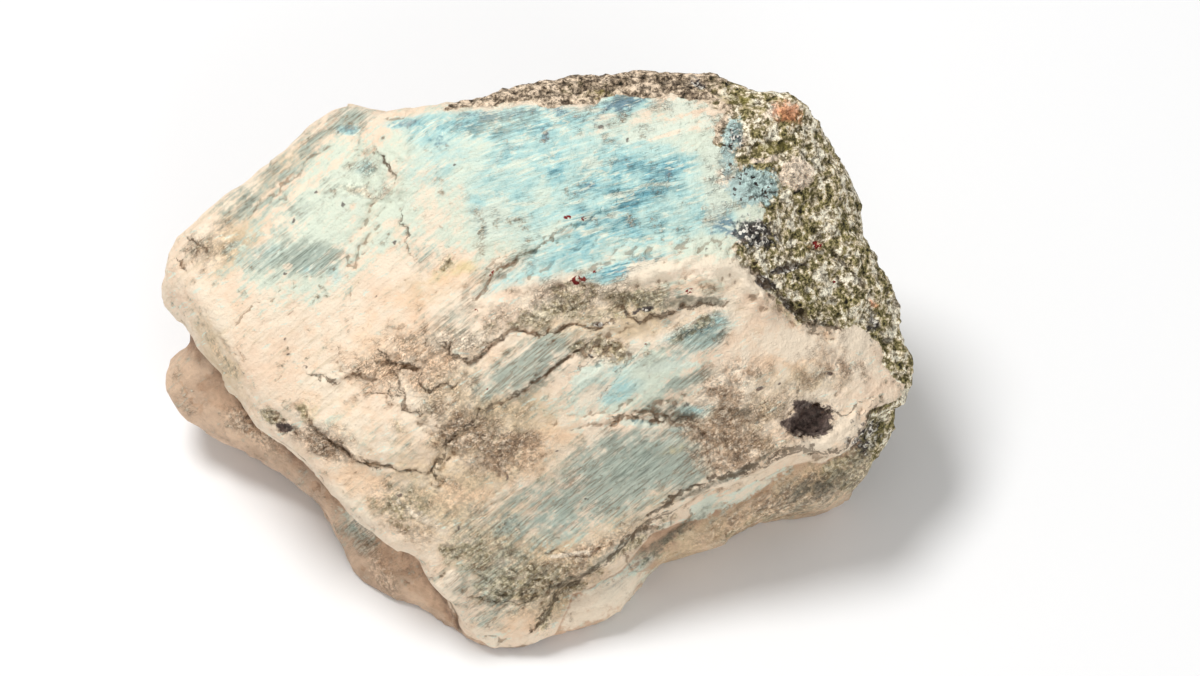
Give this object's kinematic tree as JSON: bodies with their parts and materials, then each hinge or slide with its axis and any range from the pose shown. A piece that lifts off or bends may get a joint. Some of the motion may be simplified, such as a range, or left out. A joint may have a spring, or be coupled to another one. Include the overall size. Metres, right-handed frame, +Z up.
{
  "type": "raw larimar stone",
  "caption": "Rough broken piece of raw larimar: a blue and cream slab of pectolite with a knobbly basalt crust, resting on a flat break.",
  "frame": {"origin": "middle of the stone's box, on the plane that it rests on", "axes": "+X along the stone's long way, +Z up, and the broad blue show face leans back from -Y"},
  "size_m": [0.1224, 0.0804, 0.0656],
  "materials": {
    "larimar": "rough broken pectolite, blue, turquoise and cream, with an olive-brown basalt crust"
  },
  "bodies": {
    "root": {"larimar_stone": "larimar"}
  },
  "joints": []
}
